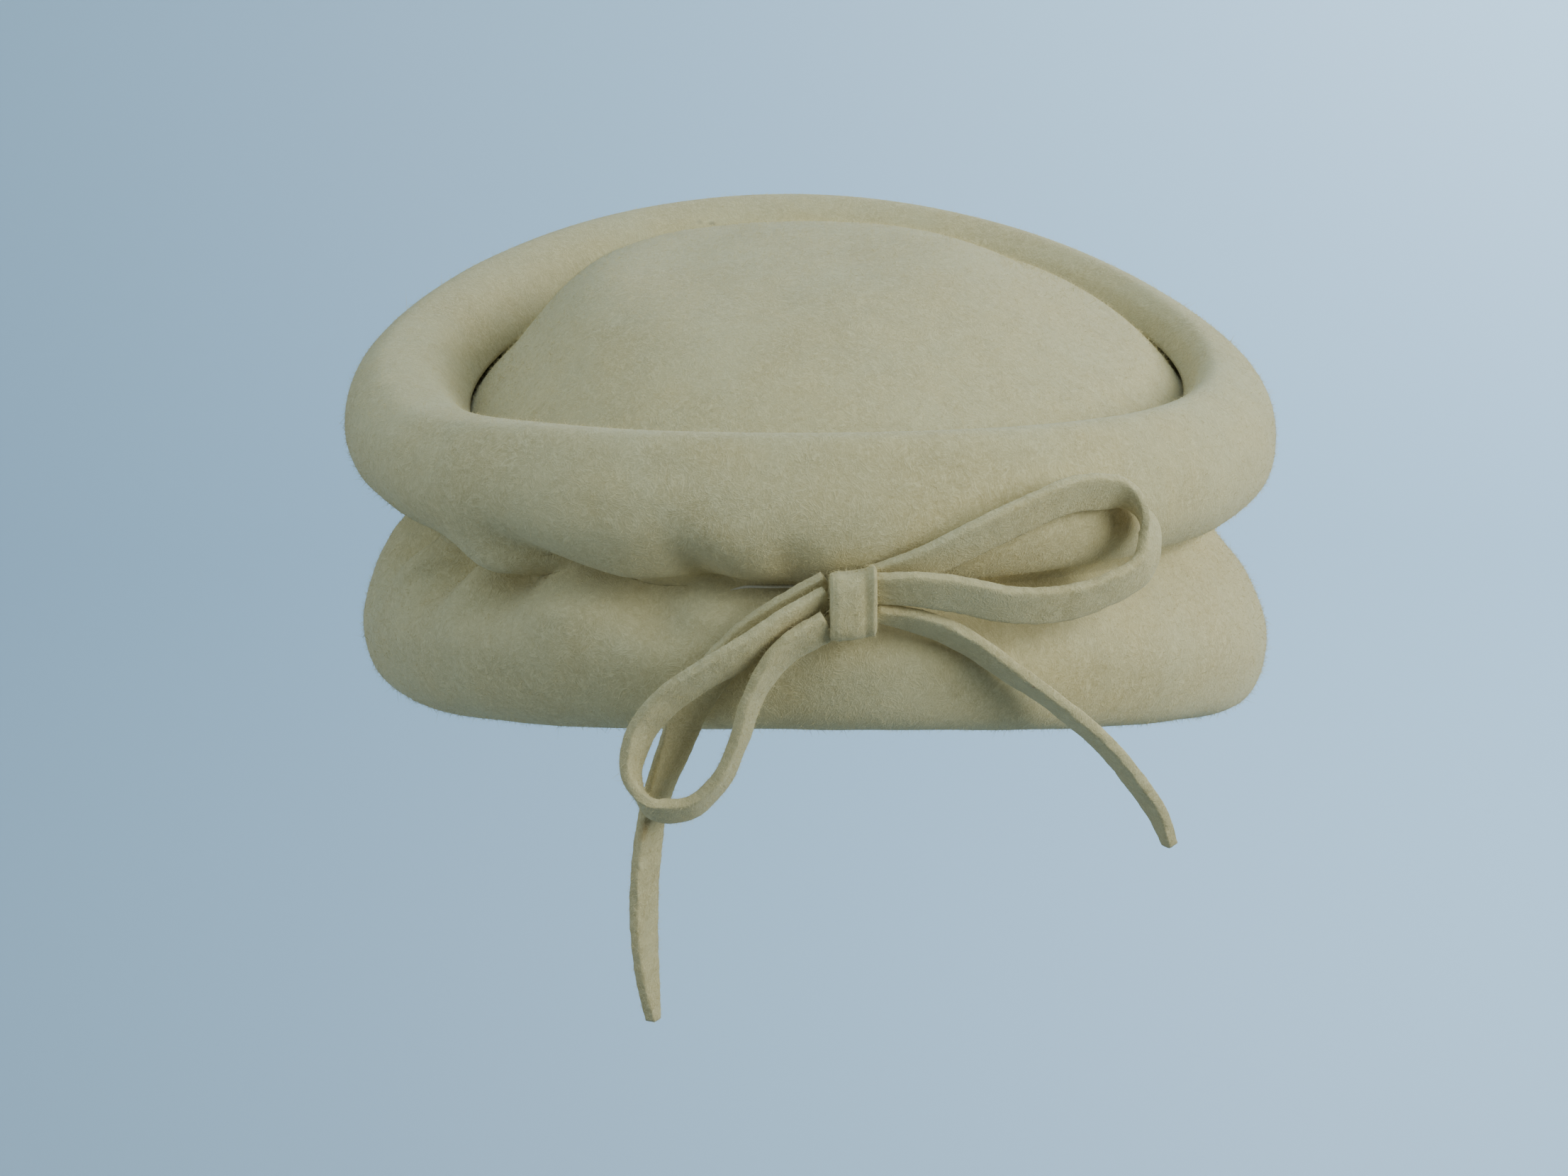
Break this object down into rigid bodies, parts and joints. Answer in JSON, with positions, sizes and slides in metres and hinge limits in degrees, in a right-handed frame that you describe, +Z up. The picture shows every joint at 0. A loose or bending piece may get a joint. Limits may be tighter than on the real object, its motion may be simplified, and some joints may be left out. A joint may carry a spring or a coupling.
{
  "type": "pillbox hat",
  "caption": "Folded felt hat in the pillbox family: a low dome crown, a deep rolled brim drawn in at a gathered waist, and a narrow felt bow with hanging tails at the back.",
  "frame": {"origin": "on the inside of the crown at its middle, where the top of the head carries the hat", "axes": "+Z up, +Y towards the front of the head, +X towards the wearer's right; the bow is at the back, at -Y"},
  "size_m": [0.2043, 0.2263, 0.1456],
  "materials": {
    "hat_felt": "matt, fuzzy cream wool felt",
    "bow_felt": "matt cream wool felt strip with cut edges"
  },
  "bodies": {
    "root": {"felt_body": "hat_felt", "bow_loop_right": "bow_felt", "bow_loop_left": "bow_felt", "bow_tail_right": "bow_felt", "bow_tail_left": "bow_felt", "knot_band": "bow_felt"}
  },
  "joints": []
}
